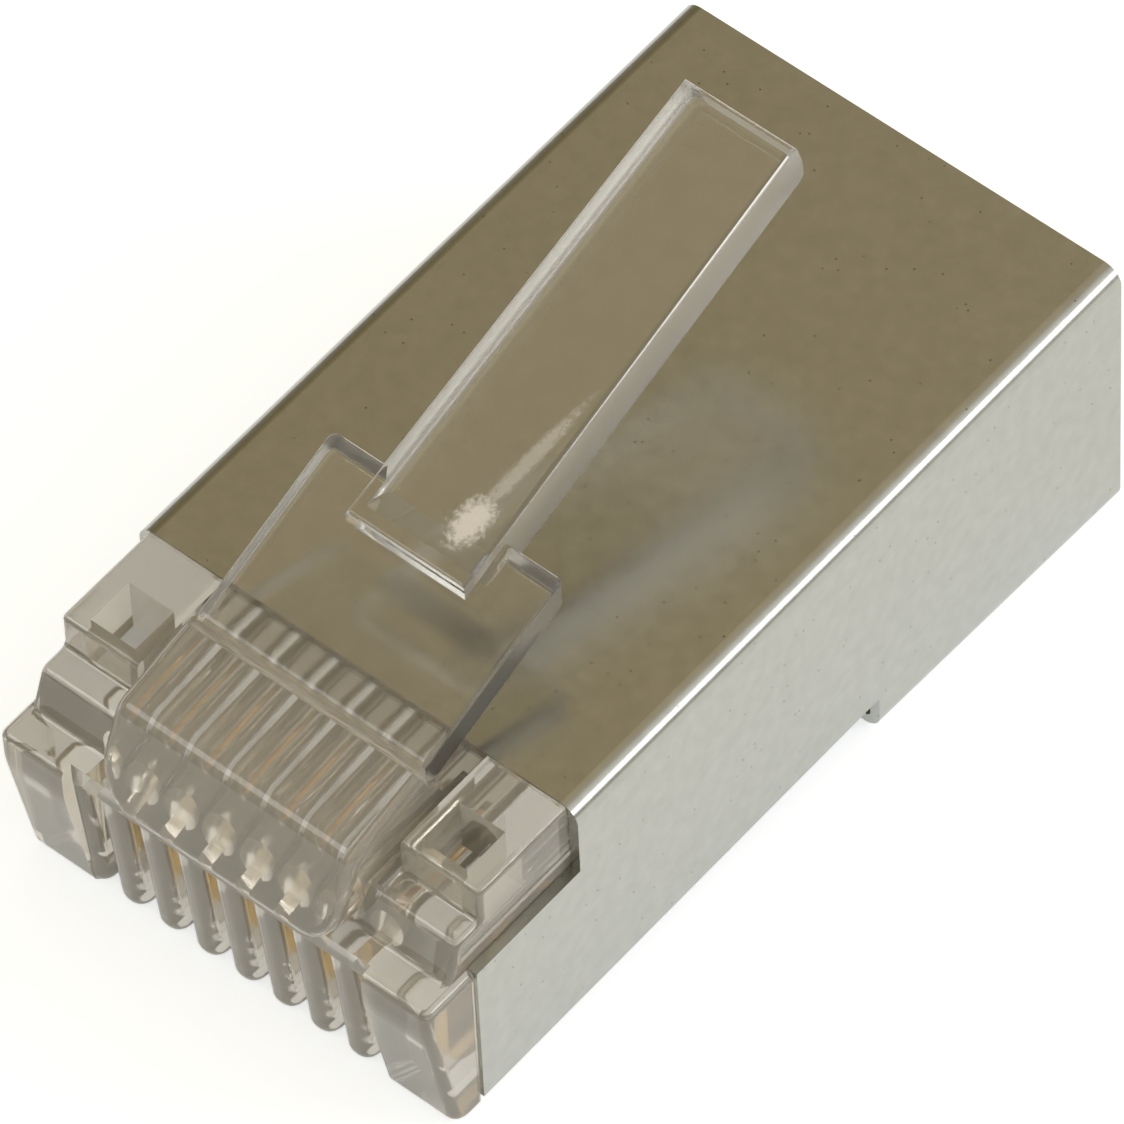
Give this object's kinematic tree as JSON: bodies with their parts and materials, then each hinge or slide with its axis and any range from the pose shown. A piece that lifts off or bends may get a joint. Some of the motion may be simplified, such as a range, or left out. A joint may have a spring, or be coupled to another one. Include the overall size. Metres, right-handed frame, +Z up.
{
  "type": "modular plug",
  "caption": "Shielded modular plug for data cable: a clear moulding with a springing latch, a folded metal shell and gold-plated blade contacts.",
  "frame": {"origin": "under the middle of the plug's box, at the height of its lowest edge, which is the shell's lower edge at the cable end", "axes": "+X across the plug, +Y towards the cable end with the contacts towards -Y, +Z up with the latch on top"},
  "size_m": [0.0116, 0.0222, 0.0136],
  "materials": {
    "clear_plastic": "clear polycarbonate, polished moulding",
    "nickel_plate": "bright nickel plate on folded sheet",
    "gold_plate": "gold plate on stamped copper alloy"
  },
  "bodies": {
    "plug": {"housing": "clear_plastic", "shell": "nickel_plate", "contact_1": "gold_plate", "contact_2": "gold_plate", "contact_3": "gold_plate", "contact_4": "gold_plate", "contact_5": "gold_plate", "contact_6": "gold_plate", "contact_7": "gold_plate", "contact_8": "gold_plate"},
    "latch": {"latch": "clear_plastic"}
  },
  "joints": [
    {"name": "latch_press", "type": "hinge", "parent": "plug", "child": "latch", "pos_m": [0, -0.00754, 0.00828], "axis": [-1, 0, 0], "range_deg": [0, 15], "stiffness_Nm_per_rad": 0.05}
  ]
}
